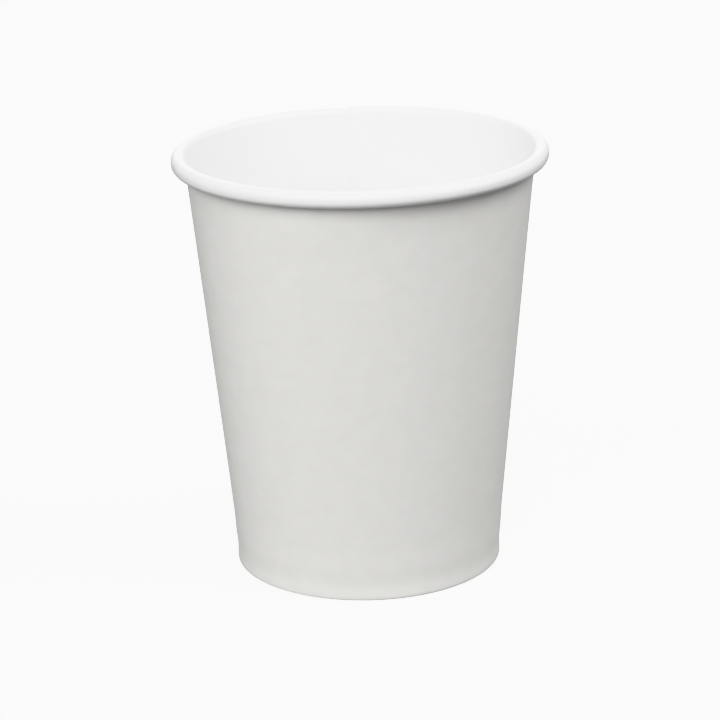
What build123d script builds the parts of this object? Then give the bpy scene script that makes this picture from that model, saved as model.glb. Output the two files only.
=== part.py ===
from build123d import *
from math import asin, atan2, cos, degrees, hypot, sin
import os

# Paper coffee cup, single wall, about 240 ml.
#
# Two pieces of coated board make the cup. The side wall is one fan-shaped blank, rolled
# into a cone, lapped over itself at one upright seam, curled outwards into the rim and
# folded inwards under the foot. The bottom disc is a round blank with its edge turned
# down into a skirt, which the folded foot grips.
#
# Millimetres, +Z up. The origin is the middle of the ring that the cup stands on.

# ---- Driving dimensions ----
RIM_DIAMETER = 80.0        # across the outside of the rolled rim
CUP_HEIGHT = 92.0          # table to the top of the rim
FOOT_DIAMETER = 56.8       # outside of the wall, carried down to the table
BOARD = 0.36               # thickness of the coated board

CURL_RADIUS = 1.58         # rolled rim, from the wall over the top to the outside
CURL_DROP = 0.40           # straight run down the outside of the roll
TUCK_GAP = 0.04            # between the tucked-in edge of the board and the wall
CURL_TURN = 385.0          # degrees that a single layer turns in the rim
SEAM_CURL_TURN = 300.0     # degrees that the double layer at the seam turns

SEAM_ANGLE = 93.0          # bearing of the inner cut edge of the seam, from +X
SEAM_LAP = 6.5             # how far the two ends of the blank overlap
SEAM_CLIMB = 10.0          # how far the outer end takes to climb onto the inner one

DISC_HEIGHT = 8.0          # table to the underside of the bottom disc
DISC_BEND = 0.54           # inside of the bend between the disc and its skirt
SKIRT_LIFT = 0.44          # gap between the skirt's cut edge and the fold below it
HEM_DROP = 1.6             # from the disc's underside down to the top of the hem
FOLD_BEND = 0.09           # inside of the two bends in the folded foot
SEAL_GAP = 0.03            # melted coating between the glued faces
CLIMB_STEPS = 5            # straight facets that the climb is drawn with

# ---- Where the wall runs, from the dimensions above ----
TUCK_RADIUS = CURL_RADIUS - (BOARD + TUCK_GAP) / 2  # from the outside to the tucked-in edge
POCKET = BOARD + 2 * SEAL_GAP                    # between the wall and the hem
HEM_HEIGHT = DISC_HEIGHT - HEM_DROP              # table to the hem's cut edge
SKIRT_FOOT = 2 * BOARD + SKIRT_LIFT              # table to the skirt's cut edge
CURL_X = RIM_DIAMETER / 2 - CURL_RADIUS          # centre of the rim's roll
CURL_Z = CUP_HEIGHT - CURL_RADIUS


def wall_lean():
    """Angle of the wall from upright, tangent to the rim's roll."""
    lean = 0.0
    for _ in range(20):                          # the board's width depends on the lean
        foot_x = FOOT_DIAMETER / 2 - BOARD / cos(lean)
        reach = hypot(CURL_X - foot_x, CURL_Z)
        lean = atan2(CURL_X - foot_x, CURL_Z) - asin(CURL_RADIUS / reach)
    return lean


LEAN = wall_lean()
ALONG = Vector(sin(LEAN), cos(LEAN))             # up the wall
OUTWARD = Vector(cos(LEAN), -sin(LEAN))          # square to the wall, away from the drink
WALL_FOOT = Vector(FOOT_DIAMETER / 2 - BOARD / cos(LEAN), 0)


def on_wall(outward, height):
    """Point at this height on a line beside the wall's inner face."""
    start = WALL_FOOT + OUTWARD * outward
    return start + ALONG * ((height - start.Y) / ALONG.Y)


def board_face(depth, outer, curl_turn):
    """One face of the side wall's board, from the hem's edge to the tucked-in edge.

    depth is measured from the line of the inner face. outer is the depth of the face
    that stands on the table.
    """
    hem_top = on_wall(-POCKET, HEM_HEIGHT) - OUTWARD * depth
    corners = [on_wall(-POCKET - depth, outer - depth), on_wall(depth, outer - depth)]
    wall_top = Vector(CURL_X, CURL_Z) - OUTWARD * (CURL_RADIUS - depth)
    fold = FilletPolyline(hem_top, *corners, wall_top, radius=FOLD_BEND + depth)
    over = JernArc(wall_top, ALONG, CURL_RADIUS - depth, degrees(LEAN) - 180)
    drop = Line(over @ 1, over @ 1 - Vector(0, CURL_DROP))
    under = JernArc(drop @ 1, (0, -1), TUCK_RADIUS - depth, 180 - curl_turn)
    return [*fold.edges().sort_by(fold.wire()), over, drop, under]


def board_section(inner, outer, curl_turn):
    """Upright section of the wall between two depths, as a face in the XZ plane."""
    near, far = board_face(inner, outer, curl_turn), board_face(outer, outer, curl_turn)
    caps = [Line(near[0] @ 0, far[0] @ 0), Line(near[-1] @ 1, far[-1] @ 1)]
    return Plane.XZ * make_face(Wire([*near, *far, *caps]))


def swept(section, start, end):
    """A section turned about the cup's axis from one bearing to another, in degrees."""
    return revolve(Rot(0, 0, start) * section, Axis.Z, end - start)


def side_wall():
    """The rolled blank, lapped over itself at the seam."""
    middle_radius = on_wall(0, CUP_HEIGHT / 2).X
    lap = degrees(SEAM_LAP / middle_radius)
    climb = degrees(SEAM_CLIMB / middle_radius)
    climbing = []
    for step in range(CLIMB_STEPS + 1):
        done = step / CLIMB_STEPS
        sunk = BOARD * (1 - done)
        turn = SEAM_CURL_TURN + (CURL_TURN - SEAM_CURL_TURN) * done
        section = board_section(sunk, sunk + BOARD, turn)
        climbing.append(Rot(0, 0, SEAM_ANGLE + climb * done) * section)
    double = board_section(0, 2 * BOARD, SEAM_CURL_TURN)
    around = swept(
        board_section(0, BOARD, CURL_TURN), SEAM_ANGLE + climb, SEAM_ANGLE - lap + 360
    )
    return around + loft(climbing, ruled=True) + swept(double, SEAM_ANGLE - lap, SEAM_ANGLE)


def disc_face(depth):
    """One face of the bottom disc, from the cup's axis out and down its skirt."""
    height = DISC_HEIGHT + BOARD - depth
    corner = on_wall(-SEAL_GAP - depth, height)
    skirt_end = on_wall(-SEAL_GAP, SKIRT_FOOT) - OUTWARD * depth
    bend = DISC_BEND + BOARD - depth
    return FilletPolyline(Vector(0, height), corner, skirt_end, radius=bend)


def bottom_disc():
    """The round blank with its edge turned down."""
    top, under = disc_face(0), disc_face(BOARD)
    caps = [Line(top @ 0, under @ 0), Line(top @ 1, under @ 1)]
    section = make_face(Wire([*top.edges(), *under.edges(), *caps]))
    return revolve(Plane.XZ * section, Axis.Z, 360)


if __name__ == "__main__":
    os.makedirs("parts", exist_ok=True)
    for name, make in {"side_wall": side_wall, "bottom_disc": bottom_disc}.items():
        piece = make()
        export_step(piece, f"parts/{name}.step")
        print(name, "volume", round(piece.volume), "mm3, size", piece.bounding_box().size)
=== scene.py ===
# %% [markdown]
# # A paper coffee cup, rolled from flat board
#
# A plain hot-drink cup is two pieces of coated white board. The side wall is cut flat, rolled into
# a cone and lapped at one upright seam. Its top edge is curled outwards into the rim, and its
# bottom edge is folded inwards to grip a round disc. This lesson makes the cup the same way: two
# flat cards, which Geometry Nodes roll and press into shape.
#
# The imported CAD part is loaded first. It fixes every size and place, and the looks are built on it.

# %% Load the part
from math import asin, atan2, cos, degrees, hypot, pi, radians, sin, tan

import bpy
from mathutils import Matrix, Vector


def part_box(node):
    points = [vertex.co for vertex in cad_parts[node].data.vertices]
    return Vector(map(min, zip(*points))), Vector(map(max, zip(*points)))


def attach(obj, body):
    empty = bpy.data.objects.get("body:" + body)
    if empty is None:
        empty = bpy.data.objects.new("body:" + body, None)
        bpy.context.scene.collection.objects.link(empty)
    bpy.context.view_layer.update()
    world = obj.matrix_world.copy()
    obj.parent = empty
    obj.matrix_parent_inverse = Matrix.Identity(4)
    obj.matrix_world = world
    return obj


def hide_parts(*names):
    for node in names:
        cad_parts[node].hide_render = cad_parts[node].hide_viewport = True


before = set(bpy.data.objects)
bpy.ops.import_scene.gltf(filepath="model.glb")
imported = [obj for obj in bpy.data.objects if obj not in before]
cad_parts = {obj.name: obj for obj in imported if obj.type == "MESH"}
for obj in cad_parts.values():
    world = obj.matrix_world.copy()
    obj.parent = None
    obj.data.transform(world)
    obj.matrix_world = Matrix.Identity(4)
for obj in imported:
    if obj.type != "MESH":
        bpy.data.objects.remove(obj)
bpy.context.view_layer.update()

# %% [markdown]
# ## The camera
#
# The camera comes first, because everything else is judged through it. It looks a little down on
# the cup from the front, from more than half a metre away, through a long lens. A long lens keeps
# the two sides of the cup almost parallel, as in a catalogue picture. The small roll is that of a
# camera held by hand.

# %% Camera
CAMERA_TARGET = Vector((-0.0010, 0, 0.0443))
CAMERA_DISTANCE = 0.5909
CAMERA_PITCH = radians(18.01)
CAMERA_ROLL = radians(-1.37)
CAMERA_LENS = 136.4


def place_camera():
    """A camera that looks along +Y and a little down, rolled about its own axis."""
    back = Vector((0, -cos(CAMERA_PITCH), sin(CAMERA_PITCH)))
    tilt = Matrix.Rotation(pi / 2 - CAMERA_PITCH, 3, "X") @ Matrix.Rotation(CAMERA_ROLL, 3, "Z")
    data = bpy.data.cameras.new("camera")
    data.lens = CAMERA_LENS
    data.sensor_width = 36
    data.clip_start = 0.01
    camera = bpy.data.objects.new("camera", data)
    camera.matrix_world = Matrix.Translation(CAMERA_TARGET + back * CAMERA_DISTANCE) @ tilt.to_4x4()
    bpy.context.scene.collection.objects.link(camera)
    bpy.context.scene.camera = camera
    return camera


print("the camera stands at", place_camera().matrix_world.translation)

# %% [markdown]
# ## The sizes of the board
#
# The height and the rim's radius are read from the CAD part. What is below is what the board does
# between them: how thick it is, how tightly the rim is rolled and the foot is folded, and how far
# the two ends of the wall overlap. They are the sizes that the CAD part was made with, except that
# the bend at the disc's edge is tighter here.

# %% Sizes
MM = 0.001

_, wall_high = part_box("side_wall")
disc_low, disc_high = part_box("bottom_disc")

RIM_RADIUS = min(wall_high.x, wall_high.y)
CUP_HEIGHT = wall_high.z
FOOT_RADIUS = 28.4 * MM           # outside of the wall, carried down to the table
BOARD = 0.36 * MM

CURL_RADIUS = 1.58 * MM           # the rim, from the wall over the top to the outside
CURL_DROP = 0.40 * MM             # the rim, straight down its outside
TUCK_RADIUS = 1.38 * MM           # the rim, from the outside round to the tucked-in edge
CURL_TURN = 385                   # degrees that the board turns in the rim

POCKET = 0.42 * MM                # room for the disc's skirt between the wall and the hem
HEM_HEIGHT = 6.4 * MM
FOLD_INSIDE = 0.09 * MM           # inside of the two bends in the foot, on the coated face

SEAM_BEARING = 93                 # degrees from +X to the inner cut edge of the seam
SEAM_LAP = 6.5 * MM
SEAM_CLIMB = 10 * MM              # how far the outer end takes to climb onto the inner one

print("rim radius", RIM_RADIUS, "height", CUP_HEIGHT)

# %% [markdown]
# ## The wall's section
#
# Seen on end, the wall is one line that never breaks. It starts at the top of the hem inside the
# foot, runs down, turns twice to become the foot's edge, climbs the whole height of the cup, and
# rolls over outwards until it tucks in under itself. The line drawn here is the coated face, and
# the board's thickness goes on its right-hand side all the way round.
#
# Bends get many short steps and straight runs get few, so that the mesh is fine only where it
# turns. Every step becomes one row of the card, and the rows are counted here because the tree
# has to know which of them lie in the hem.

# %% Section of the wall
HEM_ROWS = 8
BEND_ROWS = 5
WALL_ROWS = 24
WALL_BUNCH = 1.6                  # crowds the wall's rows towards the foot
ROLL_ROWS = 17
TUCK_ROWS = 18
CURL_CENTRE = Vector((RIM_RADIUS - CURL_RADIUS, CUP_HEIGHT - CURL_RADIUS))


def lean_of_the_wall():
    """The wall's angle from upright. It runs tangent to the rolled rim.

    The foot's inner edge depends on the lean and the lean on the foot's inner edge, so each is
    worked out from the other until they settle.
    """
    lean = 0
    for _ in range(20):
        foot_x = FOOT_RADIUS - BOARD / cos(lean)
        run = CURL_CENTRE.x - foot_x
        lean = atan2(run, CURL_CENTRE.y) - asin(CURL_RADIUS / hypot(run, CURL_CENTRE.y))
    return lean


LEAN = lean_of_the_wall()
UPWARD = Vector((sin(LEAN), cos(LEAN)))
OUTWARD = Vector((cos(LEAN), -sin(LEAN)))
WALL_FOOT = Vector((FOOT_RADIUS - BOARD / cos(LEAN), 0))


def beside_wall(outward, height):
    """The point at this height on a line beside the coated face of the wall."""
    start = WALL_FOOT + OUTWARD * outward
    return start + UPWARD * ((height - start.y) / UPWARD.y)


def arc(centre, radius, start, turn, steps):
    """Points on an arc after its first one. Angles in degrees, and a minus turn is clockwise."""
    angles = [radians(start + turn * i / steps) for i in range(1, steps + 1)]
    return [centre + Vector((cos(a), sin(a))) * radius for a in angles]


def rounded(before, corner, after, radius, steps):
    """Points on the bend that rounds off a corner between two straight runs."""
    towards, away = (corner - before).normalized(), (after - corner).normalized()
    turn = away.angle_signed(towards)
    start = corner - towards * radius * tan(abs(turn) / 2)
    side = Vector((-towards.y, towards.x)) * (1 if turn > 0 else -1)
    centre = start + side * radius
    first = degrees(atan2(-side.y, -side.x))
    return [start] + arc(centre, radius, first, degrees(turn), steps)


def between(start, end, steps, bunch=1):
    """Points on a straight run after its start. A bunch over 1 crowds them at the start."""
    return [start.lerp(end, (i / steps) ** bunch) for i in range(1, steps + 1)]


def wall_section():
    """The coated face of the wall, from the top of the hem to the edge tucked into the rim."""
    hem_top = beside_wall(-POCKET, HEM_HEIGHT)
    inner_corner = beside_wall(-POCKET, BOARD)
    outer_corner = beside_wall(0, BOARD)
    wall_top = CURL_CENTRE - OUTWARD * CURL_RADIUS
    inner_bend = rounded(hem_top, inner_corner, outer_corner, FOLD_INSIDE, BEND_ROWS)
    outer_bend = rounded(inner_corner, outer_corner, wall_top, FOLD_INSIDE, BEND_ROWS)
    over_turn = 180 - degrees(LEAN)
    tuck_centre = CURL_CENTRE + Vector((CURL_RADIUS - TUCK_RADIUS, -CURL_DROP))
    tuck_turn = over_turn + degrees(LEAN) - CURL_TURN
    return (
        [hem_top]
        + between(hem_top, inner_bend[0], HEM_ROWS)
        + inner_bend[1:]
        + outer_bend
        + between(outer_bend[-1], wall_top, WALL_ROWS, WALL_BUNCH)
        + arc(CURL_CENTRE, CURL_RADIUS, over_turn, -over_turn, ROLL_ROWS)
        + [tuck_centre + Vector((TUCK_RADIUS, 0))]
        + arc(tuck_centre, TUCK_RADIUS, 0, tuck_turn, TUCK_ROWS)
    )


def draw_section(name, points):
    """A section as a curve in the XZ plane, for a node tree to read."""
    curve = bpy.data.curves.new(name, "CURVE")
    curve.dimensions = "3D"
    spline = curve.splines.new("POLY")
    spline.points.add(len(points) - 1)
    for place, point in zip(spline.points, points):
        place.co = (point.x, 0, point.y, 1)
    drawn = bpy.data.objects.new(name, curve)
    bpy.context.scene.collection.objects.link(drawn)
    return drawn


wall_points = wall_section()
print("the wall leans", degrees(LEAN), "degrees, and its section has", len(wall_points), "points")

# %% [markdown]
# ## Writing node trees as formulas
#
# A Geometry Nodes tree is a formula drawn as boxes and wires. In a script it reads better written
# as a formula. This first half of a small helper makes that possible: it holds what comes out of a
# node, and `a + b` on two of them adds a Math node to their tree.

# %% What comes out of a node
class Value:
    """What comes out of a node, which can be added, multiplied and so on."""

    def __init__(self, tree, socket):
        self.tree = tree
        self.socket = socket

    def __add__(self, other):
        return self.tree.math("ADD", self, other)

    def __sub__(self, other):
        return self.tree.math("SUBTRACT", self, other)

    def __rsub__(self, other):
        return self.tree.math("SUBTRACT", other, self)

    def __mul__(self, other):
        return self.tree.math("MULTIPLY", self, other)

    def __truediv__(self, other):
        return self.tree.math("DIVIDE", self, other)

    __radd__ = __add__
    __rmul__ = __mul__


print("a value can stand in", ["a + b", "a - b", "a * b", "a / b"])

# %% [markdown]
# The second half is the tree. Every size is a named input of it, so the finished tree can be opened
# in Blender and played with. A node's inputs are given by name, and where two share a name, by
# number.

# %% Node tree helper
class Tree:
    """A geometry node tree, written one node at a time."""

    SOCKETS = {int: "NodeSocketInt", float: "NodeSocketFloat", bpy.types.Object: "NodeSocketObject"}

    def __init__(self, name, sizes):
        self.group = bpy.data.node_groups.new(name, "GeometryNodeTree")
        interface = self.group.interface
        interface.new_socket("Geometry", in_out="OUTPUT", socket_type="NodeSocketGeometry")
        self.sizes = {}
        for label, size in sizes.items():
            kind = self.SOCKETS[type(size)]
            socket = interface.new_socket(label, in_out="INPUT", socket_type=kind)
            self.sizes[socket.identifier] = size
        self.given = self.group.nodes.new("NodeGroupInput")

    def size(self, label):
        """One of the tree's named inputs."""
        return Value(self, self.given.outputs[label])

    def node(self, kind, settings=None, out=0, **wires):
        """Adds a node, sets and wires its inputs, and gives back one of its outputs."""
        node = self.group.nodes.new(kind)
        for name, setting in (settings or {}).items():
            setattr(node, name, setting)
        for name, value in wires.items():
            self.wire(node, name.replace("_", " "), value)
        return Value(self, node.outputs[out])

    def wire(self, node, name, value):
        """Sets or wires one input, which is given by its name or by its number."""
        enabled = [s for s in node.inputs if s.enabled]
        if name.isdigit():
            place = enabled[int(name)]
        else:
            place = next(s for s in enabled if s.name == name)
        if isinstance(value, Value):
            self.group.links.new(value.socket, place)
        else:
            place.default_value = value

    def math(self, operation, *values):
        """One Math node."""
        node = self.group.nodes.new("ShaderNodeMath")
        node.operation = operation
        for i, value in enumerate(values):
            self.wire(node, str(i), value)
        return Value(self, node.outputs[0])

    def split(self, vector):
        """The X, Y and Z of a vector."""
        socket = self.node("ShaderNodeSeparateXYZ", Vector=vector).socket
        return [Value(self, s) for s in socket.node.outputs]

    def vector(self, x, y, z):
        """A vector from its X, Y and Z."""
        return self.node("ShaderNodeCombineXYZ", X=x, Y=y, Z=z)

    def ramp(self, value, start, end):
        """Goes smoothly from 0 to 1 as value goes from start to end."""
        return self.node(
            "ShaderNodeMapRange", {"interpolation_type": "SMOOTHSTEP"},
            Value=value, From_Min=start, From_Max=end,
        )

    def round_wave(self, angle):
        """Goes between 0 and 1 and back once in each turn of the angle."""
        return self.math("COSINE", angle) * 0.5 + 0.5

    def above(self, value, limit):
        """1 where value is over the limit, and 0 elsewhere."""
        return self.math("GREATER_THAN", value, limit)


print("a tree takes sizes of the kinds", [kind.__name__ for kind in Tree.SOCKETS])

# %% [markdown]
# ## The finish of the board
#
# Cup board is white all through, but its two faces differ. Outside it is bare: matt, a little
# warm, with a faint cloudiness where the fibres lie thicker or thinner, and a fine tooth that
# softens every highlight. Inside, a film of plastic melted on at the mill fills the tooth and
# leaves a low satin gloss with a slight ripple. Where the board was cut, its edge shows raw
# fibre in thin layers.
#
# All three are one Principled shader with patterns joined to it, so the first thing is a short way
# to make a material and to add nodes to it.

# %% Making a material
def new_material(name):
    """A material with its Principled shader, and a way to add nodes to it."""
    material = bpy.data.materials.new(name)
    material.use_nodes = True
    nodes, links = material.node_tree.nodes, material.node_tree.links
    shader = nodes["Principled BSDF"]

    def add(kind, settings=None, **inputs):
        """Adds a node, and sets or wires the inputs that are named."""
        node = nodes.new(kind)
        for key, value in (settings or {}).items():
            setattr(node, key, value)
        for key, value in inputs.items():
            socket = node.inputs[key.replace("_", " ")]
            if isinstance(value, bpy.types.NodeSocket):
                links.new(value, socket)
            else:
                socket.default_value = value
        return node

    return material, shader, add, links


print("materials so far", len(bpy.data.materials))

# %% [markdown]
# The patterns read the place on the flat card, which the node trees store under the name "card".
# The grain then runs over the rim and round the folds with the board, as it really does. Noise that
# is squeezed less along one direction than along the other makes fibres instead of dots.

# %% Patterns on the card
CLOUDS_PER_METRE = 240
FIBRES_PER_METRE = 4200
RIPPLES_PER_METRE = 60
FIBRE_SHARE = 0.35                # how much the fibres add to the pattern of the clouds
PATTERN_LOW, PATTERN_HIGH = 0.42, 0.95
CLOUD_LOW, CLOUD_HIGH = 0.3, 0.7


def card_noise(add, stretch, scale, detail, roughness=0.5):
    """Noise on the flat card. A stretch under 1 draws it out along the card, up the wall."""
    card = add("ShaderNodeAttribute", {"attribute_name": "card"}).outputs["Vector"]
    placed = add("ShaderNodeMapping", Vector=card, Scale=(1, stretch, 1)).outputs["Vector"]
    noise = add("ShaderNodeTexNoise", Vector=placed, Scale=scale, Detail=detail, Roughness=roughness)
    return noise.outputs["Fac"]


print("a cloud in the board is about", round(1000 / CLOUDS_PER_METRE), "mm across")

# %% [markdown]
# One face of the board puts the patterns to work. Clouds with a little fibre in them pick the
# colour, the clouds alone change the gloss a little, and a slow ripple and the fine grain bump the
# surface. The three finishes differ in their colours and in how strong each of these is.

# %% Finishes
def board_finish(name, thin, thick, gloss, tooth, ripple):
    """One face of the board.

    thin and thick are the colours between which the fibre's clouds go, gloss the two ends of
    the roughness, tooth the depth of the fine grain and ripple that of the slow waviness.
    """
    material, shader, add, links = new_material(name)
    clouds = card_noise(add, stretch=1.0, scale=CLOUDS_PER_METRE, detail=3)
    fibres = card_noise(add, stretch=0.35, scale=FIBRES_PER_METRE, detail=2, roughness=0.6)
    waves = card_noise(add, stretch=0.7, scale=RIPPLES_PER_METRE, detail=1)

    blend = add("ShaderNodeMath", {"operation": "MULTIPLY_ADD"})
    links.new(fibres, blend.inputs[0])
    blend.inputs[1].default_value = FIBRE_SHARE
    links.new(clouds, blend.inputs[2])
    spread = add("ShaderNodeMapRange", Value=blend.outputs[0])
    spread.inputs["From Min"].default_value = PATTERN_LOW
    spread.inputs["From Max"].default_value = PATTERN_HIGH
    colour = add("ShaderNodeMix", {"data_type": "RGBA"})
    links.new(spread.outputs[0], colour.inputs[0])
    colour.inputs[6].default_value = (*thin, 1)
    colour.inputs[7].default_value = (*thick, 1)
    links.new(colour.outputs[2], shader.inputs["Base Color"])

    rough = add("ShaderNodeMapRange", Value=clouds)
    rough.inputs["From Min"].default_value = CLOUD_LOW
    rough.inputs["From Max"].default_value = CLOUD_HIGH
    rough.inputs["To Min"].default_value = gloss[0]
    rough.inputs["To Max"].default_value = gloss[1]
    links.new(rough.outputs[0], shader.inputs["Roughness"])

    slow = add("ShaderNodeBump", Height=waves, Distance=ripple, Strength=1.0)
    fine = add("ShaderNodeBump", Height=fibres, Distance=tooth, Strength=1.0, Normal=slow.outputs[0])
    links.new(fine.outputs[0], shader.inputs["Normal"])
    return material


bare_face = board_finish(
    "bare white board", thin=(0.845, 0.84, 0.815), thick=(0.875, 0.87, 0.845),
    gloss=(0.68, 0.80), tooth=0.020 * MM, ripple=0.06 * MM,
)
coated_face = board_finish(
    "coated white board", thin=(0.915, 0.91, 0.91), thick=(0.935, 0.93, 0.93),
    gloss=(0.34, 0.46), tooth=0.006 * MM, ripple=0.08 * MM,
)
cut_edge = board_finish(
    "cut edge of board", thin=(0.70, 0.69, 0.65), thick=(0.84, 0.83, 0.79),
    gloss=(0.85, 0.95), tooth=0.06 * MM, ripple=0.02 * MM,
)
for material, gloss in ((bare_face, 0.35), (coated_face, 0.5), (cut_edge, 0.2)):
    material.node_tree.nodes["Principled BSDF"].inputs["Specular IOR Level"].default_value = gloss
    print("made the finish", material.name)

# %% [markdown]
# ## Cards
#
# Both pieces start as a flat card with a top, an underside and a thin cut rim, and both end the
# same way. Before the card is bent, each of its faces notes which way it looks, because afterwards
# the faces look everywhere. The finishes are then given out by that note: the top of the card is
# the coated side, its underside the bare one, and its rim is cut board.
#
# A tree that is run gives a mesh that still hangs on its modifier. It is copied out as a plain
# mesh, and the modifier is taken off.

# %% Cards
SHARP = 1.0                       # edges that turn more than this, in radians, stay sharp


class CardTree(Tree):
    """A node tree that bends a flat card of board."""

    def facing(self, mesh):
        """Notes which way each face of the flat card looks, to be read once it is bent."""
        note = self.group.nodes.new("GeometryNodeCaptureAttribute")
        note.domain = "FACE"
        note.capture_items.new("FLOAT", "facing")
        up = self.split(self.node("GeometryNodeInputNormal"))[2]
        self.wire(note, "0", mesh)
        self.wire(note, "1", up)
        return [Value(self, socket) for socket in note.outputs][:2]

    def soften(self, mesh):
        """Smooth shading, except over the sharp edges of the flat card."""
        kind = "GeometryNodeSetShadeSmooth"
        smooth = self.node(kind, {"domain": "FACE"}, Geometry=mesh, Shade_Smooth=True)
        sharp = self.above(self.node("GeometryNodeInputMeshEdgeAngle"), SHARP)
        return self.node(
            kind, {"domain": "EDGE"}, Geometry=smooth, Selection=sharp, Shade_Smooth=False
        )

    def bend(self, card, flat_place, bent_place):
        """Stores each point's place on the flat card for the finishes, and moves the point."""
        card = self.node(
            "GeometryNodeStoreNamedAttribute", {"data_type": "FLOAT_VECTOR", "domain": "POINT"},
            Geometry=card, Name="card", Value=flat_place,
        )
        return self.node("GeometryNodeSetPosition", Geometry=card, Position=bent_place)

    def finish(self, mesh, facing):
        """Ends the tree by giving out the finishes."""
        mesh = self.node("GeometryNodeRealizeInstances", Geometry=mesh)
        mesh = self.node("GeometryNodeSetMaterial", Geometry=mesh, Material=cut_edge)
        for material, side in ((coated_face, facing), (bare_face, 0.0 - facing)):
            mesh = self.node(
                "GeometryNodeSetMaterial",
                Geometry=mesh, Selection=self.above(side, 0.5), Material=material,
            )
        out = self.group.nodes.new("NodeGroupOutput")
        self.group.links.new(mesh.socket, out.inputs[0])

    def make(self, name):
        """Runs the tree once and gives back its result as a plain mesh object."""
        piece = bpy.data.objects.new(name, bpy.data.meshes.new(name))
        bpy.context.scene.collection.objects.link(piece)
        modifier = piece.modifiers.new("shape", "NODES")
        modifier.node_group = self.group
        for identifier, size in self.sizes.items():
            modifier[identifier] = size
        bpy.context.view_layer.update()
        evaluated = piece.evaluated_get(bpy.context.evaluated_depsgraph_get())
        mesh = bpy.data.meshes.new_from_object(evaluated)
        if mesh.materials[0] is None:
            mesh.materials.pop(index=0)
        piece.modifiers.clear()
        piece.data = mesh
        mesh.name = name
        print(name, "has", len(mesh.polygons), "faces in", [m.name for m in mesh.materials])
        return piece


print("a card keeps edges sharp over", round(degrees(SHARP)), "degrees")

# %% [markdown]
# ## The side wall: a card that is rolled
#
# The tree starts from a flat card with as many rows as the section has points. Each point of the
# card looks up its row's place in the section, moves out by the board's thickness if it is on the
# bare face, and is turned about the cup's axis by its column.
#
# The first thing to settle is the seam. The card's first column becomes the inner cut edge. The
# last column goes once round and past it by the lap, and climbs outwards by one thickness to lie
# on top. In the foot that extra layer is folded under too, and the board on both sides of it is
# raised to match, so that the cup stands level on its thickest place.

# %% Seam
STEP_DOWN = 5 * MM                # how far the board takes to come down off the seam's inner end
LIFT_TOP = 4 * MM                 # the extra layer raises the board below this height
LIFT_FOOT = 0.5 * MM


def seam(tree, across, height):
    """How each column is turned, how far round it is, and how far out and up it goes."""
    size = tree.size
    middle = size("Middle radius")
    turned = (across + 0.5) * (size("Lap") / middle + 2 * pi)
    angle = size("Seam bearing") - turned
    past_inner_end = turned * middle
    before_lap = (2 * pi - turned) * middle
    on_top = tree.ramp(before_lap, size("Climb"), 0.0) * (size("Board") + size("Glue"))
    beside_lap = tree.ramp(past_inner_end, size("Lap") + STEP_DOWN, size("Lap"))
    near_table = tree.ramp(height, LIFT_TOP, LIFT_FOOT)
    lift = (on_top + beside_lap * size("Board")) * near_table
    return angle, past_inner_end, on_top, lift


print("the seam laps", SEAM_LAP / MM, "mm and climbs over", SEAM_CLIMB / MM, "mm")

# %% [markdown]
# The hem is pressed against the disc's skirt by a knurled wheel, which leaves fine upright ribs.
# They fade out at the fold and at the top of the hem, and only the rows of the hem get them.

# %% Ribs in the hem
RIB_FOOT = 1.2 * MM
RIB_FADE = 0.8 * MM
RIB_END = 1.0 * MM


def hem_ribs(tree, angle, row, height):
    """How deep the ribs press the board of the hem."""
    size = tree.size
    on_hem = tree.above(row, 0.5) * (1.0 - tree.above(row, size("Hem rows") + 0.5))
    start = tree.ramp(height, RIB_FOOT, RIB_FOOT + RIB_FADE)
    end = tree.ramp(height, size("Hem height"), size("Hem height") - RIB_END)
    return tree.round_wave(angle * size("Ribs")) * start * end * on_hem * size("Rib depth")


print("the ribs begin", RIB_FOOT / MM, "mm above the table")

# %% [markdown]
# The foot holds three layers of board, so the wall swells round the disc, and it flares a hair more
# where it is folded. Only rows past the fold's inner bend are moved, so the hem stays put.

# %% Swelling of the foot
SWELL_ABOVE = 2.5 * MM            # the swelling ends this far over the disc
SWELL_BELOW = 1.5 * MM            # and is whole this far under it
FLARE_TOP = 3.5 * MM
FLARE_FOOT = 0.3 * MM
MID_FOLD = BEND_ROWS / 2 + 0.5    # rows from the end of a straight run to the middle of a bend


def foot_spread(tree, row, height):
    """How far the foot of the wall stands out from a true cone."""
    size = tree.size
    inner_fold = size("Hem rows") + MID_FOLD
    on_wall = tree.ramp(row, inner_fold, inner_fold + BEND_ROWS + 1.0)
    disc = size("Disc level")
    swell = tree.ramp(height, disc + SWELL_ABOVE, disc - SWELL_BELOW) * size("Foot swell")
    flare = tree.ramp(height, FLARE_TOP, FLARE_FOOT) * size("Foot flare")
    return (swell + flare) * on_wall


print("the swelling ends", round((disc_high.z + SWELL_ABOVE) / MM, 2), "mm above the table")

# %% [markdown]
# Nor is the rest of a real wall perfect. It has a slow wave, too small to see except in its
# shading, and the rim is a hair out of round and tilted. The wave is noise with a fixed seed. All
# of it goes inwards or down, so that the cup keeps its size.

# %% Waves and rim
WAVE_SQUASH = 0.45                # under 1 draws the waves out up the wall
WAVES_PER_METRE = 38.0
WAVE_FOOT, WAVE_TOP = (0.05, 0.3), (0.98, 0.8)
TILT_FROM = 0.3                   # share of the height where the tilt begins


def wall_wave(tree, place, share):
    """How far the wall waves in from a true cone."""
    noise = tree.node(
        "ShaderNodeTexNoise", {"noise_dimensions": "4D"},
        Vector=place, W=tree.size("Seed"), Scale=WAVES_PER_METRE, Detail=1.0,
    )
    away_from_ends = tree.ramp(share, *WAVE_FOOT) * tree.ramp(share, *WAVE_TOP)
    return (noise - 1.0) * tree.size("Wave") * away_from_ends


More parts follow.
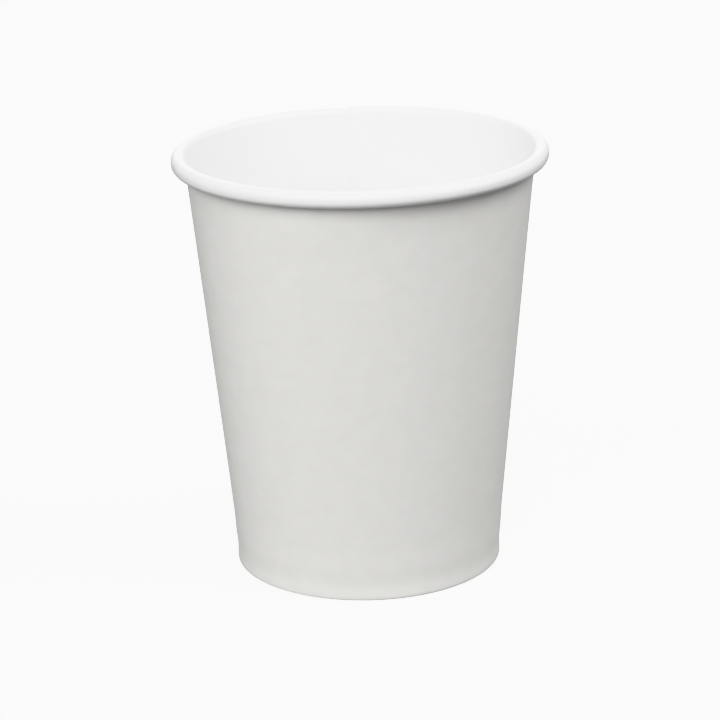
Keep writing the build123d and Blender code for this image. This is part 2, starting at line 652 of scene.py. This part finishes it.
def rim_faults(tree, angle, round_x, share):
    """How far the rim goes in for being oval, and down for being tilted."""
    oval = (tree.math("COSINE", angle * 2.0) - 1.0) * 0.5 * tree.size("Out of round")
    tilt = (round_x - 1.0) * 0.5 * tree.size("Rim tilt") * tree.ramp(share, TILT_FROM, 1.0)
    return oval * share * share, tilt


print("a wave is about", round(1 / (WAVES_PER_METRE * MM)), "mm long")

# %% [markdown]
# Now the tree itself. The section is read by row, and its direction there gives the way through
# the board, at right angles to it.

# %% Side wall
def rolled_wall():
    """The node tree that rolls a flat card into the cup's wall."""
    tree = CardTree("rolled cup wall", {
        "Section": draw_section("wall section", wall_points),
        "Columns": 540,
        "Rows": len(wall_points),
        "Hem rows": HEM_ROWS,
        "Board": BOARD,
        "Seam bearing": radians(SEAM_BEARING),
        "Middle radius": beside_wall(0, CUP_HEIGHT / 2).x,
        "Lap": SEAM_LAP,
        "Climb": SEAM_CLIMB,
        "Cup height": CUP_HEIGHT,
        "Glue": 0.01 * MM,
        "Foot swell": 0.14 * MM,
        "Foot flare": 0.32 * MM,
        "Disc level": disc_high.z,
        "Ribs": 108.0,
        "Rib depth": 0.09 * MM,
        "Hem height": HEM_HEIGHT,
        "Out of round": 0.08 * MM,
        "Rim tilt": 0.45 * MM,
        "Wave": 0.10 * MM,
        "Seed": 4,
    })
    rows, board = tree.size("Rows"), tree.size("Board")

    card = tree.node(
        "GeometryNodeMeshCube",
        Size=(1, 1, 1), Vertices_X=tree.size("Columns"), Vertices_Y=rows, Vertices_Z=2,
    )
    across, up, through = tree.split(tree.node("GeometryNodeInputPosition"))
    card, facing = tree.facing(card)
    card = tree.soften(card)

    section = tree.node("GeometryNodeObjectInfo", out="Geometry", Object=tree.size("Section"))
    row = (up + 0.5) * (rows - 1.0)

    def on_section(kind, value):
        """What the section's point for this row holds."""
        return tree.node(
            "GeometryNodeSampleIndex", {"data_type": kind, "domain": "POINT"},
            Geometry=section, Value=value, Index=tree.math("ROUND", row),
        )

    x, _, z = tree.split(on_section("FLOAT_VECTOR", tree.node("GeometryNodeInputPosition")))
    along_x, _, along_z = tree.split(
        on_section("FLOAT_VECTOR", tree.node("GeometryNodeInputTangent"))
    )
    run = on_section("FLOAT", tree.node("GeometryNodeSplineParameter", out="Length"))

    angle, past_inner_end, on_top, lift = seam(tree, across, z)
    round_x, round_y = tree.math("COSINE", angle), tree.math("SINE", angle)
    share = z / tree.size("Cup height")
    spread = foot_spread(tree, row, z)
    wave = wall_wave(tree, tree.vector(round_x * x, round_y * x, z * WAVE_SQUASH), share)
    oval, tilt = rim_faults(tree, angle, round_x, share)

    depth = on_top + (0.5 - through) * board + hem_ribs(tree, angle, row, z)
    radius = x + along_z * depth + spread + wave + oval
    height = z - along_x * depth + lift + tilt
    rolled = tree.bend(
        card,
        tree.vector(past_inner_end, run, through * board),
        tree.vector(round_x * radius, round_y * radius, height),
    )
    tree.finish(rolled, facing)
    return tree


side_wall = rolled_wall().make("rolled_wall")

# %% [markdown]
# ## The bottom disc: a round card that is pressed
#
# The bottom starts as a flat round of the same board. A punch presses it into the foot, which
# turns its edge down into a skirt. A flat edge has too much board to go round a smaller circle,
# so it gathers in fine pleats at the bend. The tree treats the distance from the middle of the
# card as distance along the pressed section, and adds the pleats where the board turns. The
# middle sags a little, as a bottom held only at its edge does.

# %% Bottom disc
DISC_BEND = 0.54 * MM             # outside of the bend between the disc and its skirt
DISC_BEND_STEPS = 12
SEAL_GAP = 0.03 * MM
INNER_SHARE = 0.3                 # this share of the rings covers the flat middle
INNER_REACH = 0.95                # out to this share of the flat radius
PLEAT_START = 1.6 * MM            # inwards from the bend, where the pleats begin
PLEAT_FULL = 0.7 * MM             # beyond the bend, where they are deepest
PLEAT_FADE = 1.2 * MM
PLEAT_END = 5.0 * MM


def disc_section():
    """The coated face of the disc, from the cup's axis out and down the skirt."""
    middle = Vector((0, disc_high.z))
    corner = beside_wall(-SEAL_GAP, disc_high.z)
    skirt_end = beside_wall(-SEAL_GAP, disc_low.z)
    bend = rounded(middle, corner, skirt_end, DISC_BEND, DISC_BEND_STEPS)
    return [middle] + bend + [skirt_end]


disc_points = disc_section()
DISC_FLAT = disc_points[1].x
SKIRT_RUN = (disc_points[-2] - disc_points[-1]).length
DISC_RUN = DISC_FLAT + DISC_BEND * (pi / 2 + LEAN) + SKIRT_RUN


def pressed_disc():
    """The node tree that presses a round card into the cup's bottom."""
    tree = CardTree("pressed bottom disc", {
        "Section": draw_section("disc section", disc_points),
        "Segments": 360,
        "Rings": 60,
        "Board": BOARD,
        "Flat radius": DISC_FLAT,
        "Whole run": DISC_RUN,
        "Pleats": 90.0,
        "Pleat depth": 0.07 * MM,
        "Sag": 0.30 * MM,
    })
    size = tree.size
    board, flat = size("Board"), size("Flat radius")

    card = tree.node(
        "GeometryNodeMeshCylinder", {"fill_type": "TRIANGLE_FAN"},
        Vertices=size("Segments"), Side_Segments=1, Fill_Segments=size("Rings"),
        Radius=1.0, Depth=1.0,
    )
    x, y, through = tree.split(tree.node("GeometryNodeInputPosition"))
    card, facing = tree.facing(card)
    card = tree.soften(card)

    # Few rings on the flat middle and many at the bend.
    share = tree.math("SQRT", x * x + y * y)
    angle = tree.math("ARCTAN2", y, x)
    inside = tree.math("MINIMUM", share / INNER_SHARE, 1.0)
    outside = tree.math("MAXIMUM", (share - INNER_SHARE) / (1 - INNER_SHARE), 0.0)
    inner_run = flat * INNER_REACH
    run = inside * inner_run + outside * (size("Whole run") - inner_run)

    section = tree.node("GeometryNodeObjectInfo", out="Geometry", Object=size("Section"))
    place = tree.node(
        "GeometryNodeSampleCurve", {"mode": "LENGTH", "data_type": "FLOAT"},
        out="Position", Curves=section, Length=run,
    )
    along = Value(tree, place.socket.node.outputs["Tangent"])
    place_x, _, place_z = tree.split(place)
    along_x, _, along_z = tree.split(along)

    pleats_in = tree.ramp(run, flat - PLEAT_START, flat + PLEAT_FULL)
    pleats_out = tree.ramp(run, flat + PLEAT_END, flat + PLEAT_FADE)
    pleat = tree.round_wave(angle * size("Pleats")) * size("Pleat depth") * pleats_in * pleats_out
    sag = tree.ramp(run, flat, 0.0) * size("Sag")
    depth = (0.5 - through) * board + pleat
    radius = place_x + along_z * depth
    height = place_z - along_x * depth - sag

    round_x, round_y = tree.math("COSINE", angle), tree.math("SINE", angle)
    pressed = tree.bend(
        card,
        tree.vector(x / share * run, y / share * run, through * board),
        tree.vector(round_x * radius, round_y * radius, height),
    )
    tree.finish(pressed, facing)
    return tree


bottom = pressed_disc().make("pressed_bottom")

# %% [markdown]
# ## The floor and the light
#
# A white object in a white room is drawn by light alone. Three wide soft lights stand round the
# front at a middle height: from there they brighten the inside of the cup more than the outside,
# and the roll of the rim throws the thin shadow that shows how far it stands out. A fourth lights
# the back, a fifth hangs overhead to reach the bottom of the cup, and the even glow of the
# surroundings keeps every shadow open.
#
# The floor is seen, but it doesn't light the cup. So much white below it would otherwise fill the
# shadow under the rim. It glows a little by itself, so that it reads as white all the way out. The
# view is set to a neutral one, which keeps near-white tones near white where the usual one greys
# them.

# %% Floor and light
LIGHT_AIM = Vector((0, 0, 0.05))
LIGHT_DISTANCE = 3.0
LIGHT_SIZE = 1.75
FLOOR_RADIUS = 8.0
FLOOR_SIDES = 96


def lay_floor():
    """A round pale floor at the height that the cup stands on. It throws no light on the cup."""
    turns = [2 * pi * i / FLOOR_SIDES for i in range(FLOOR_SIDES)]
    edge = [(FLOOR_RADIUS * cos(turn), FLOOR_RADIUS * sin(turn), 0) for turn in turns]
    mesh = bpy.data.meshes.new("floor")
    mesh.from_pydata(edge, [], [tuple(range(FLOOR_SIDES))])
    material, shader, _, _ = new_material("pale floor")
    shader.inputs["Base Color"].default_value = (0.95, 0.95, 0.95, 1)
    shader.inputs["Roughness"].default_value = 0.9
    shader.inputs["Specular IOR Level"].default_value = 0.1
    shader.inputs["Emission Color"].default_value = (1, 1, 1, 1)
    shader.inputs["Emission Strength"].default_value = 0.9
    mesh.materials.append(material)
    floor = bpy.data.objects.new("floor", mesh)
    bpy.context.scene.collection.objects.link(floor)
    floor.visible_diffuse = False
    floor.visible_glossy = False
    return floor


def hang_light(name, bearing, height, power):
    """A square soft light that faces the cup. bearing turns right from the front, height is up."""
    bearing, height = radians(bearing), radians(height)
    toward = Vector((sin(bearing) * cos(height), -cos(bearing) * cos(height), sin(height)))
    data = bpy.data.lights.new(name, "AREA")
    data.size = LIGHT_SIZE
    data.energy = power
    light = bpy.data.objects.new(name, data)
    light.location = LIGHT_AIM + LIGHT_DISTANCE * toward
    light.rotation_euler = (-toward).to_track_quat("-Z", "Y").to_euler()
    bpy.context.scene.collection.objects.link(light)
    return light


lay_floor()
hang_light("left light", -45, 29, 47)
hang_light("front light", -3, 38, 42)
hang_light("right light", 82, 44, 52)
hang_light("back light", 180, 16, 36)
hang_light("overhead light", 0, 89, 9)

world = bpy.data.worlds.new("glow")
world.use_nodes = True
world.node_tree.nodes["Background"].inputs["Color"].default_value = (1.0, 1.0, 1.0, 1)
world.node_tree.nodes["Background"].inputs["Strength"].default_value = 0.24
bpy.context.scene.world = world
bpy.context.scene.view_settings.view_transform = "Khronos PBR Neutral"
print("hung", len(bpy.data.lights), "lights")

# %% [markdown]
# ## Joining the looks to the part
#
# Each piece is hung on the cup's body, and the CAD piece that it stands for is hidden. The
# curves that the trees read have done their work and are taken out.

# %% Finish
for drawn in [o for o in bpy.context.scene.objects if o.type == "CURVE"]:
    bpy.data.objects.remove(drawn)

for piece, node, finish_slot in (
    (side_wall, "side_wall", "wall_board"),
    (bottom, "bottom_disc", "disc_board"),
):
    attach(piece, "root")
    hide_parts(node)
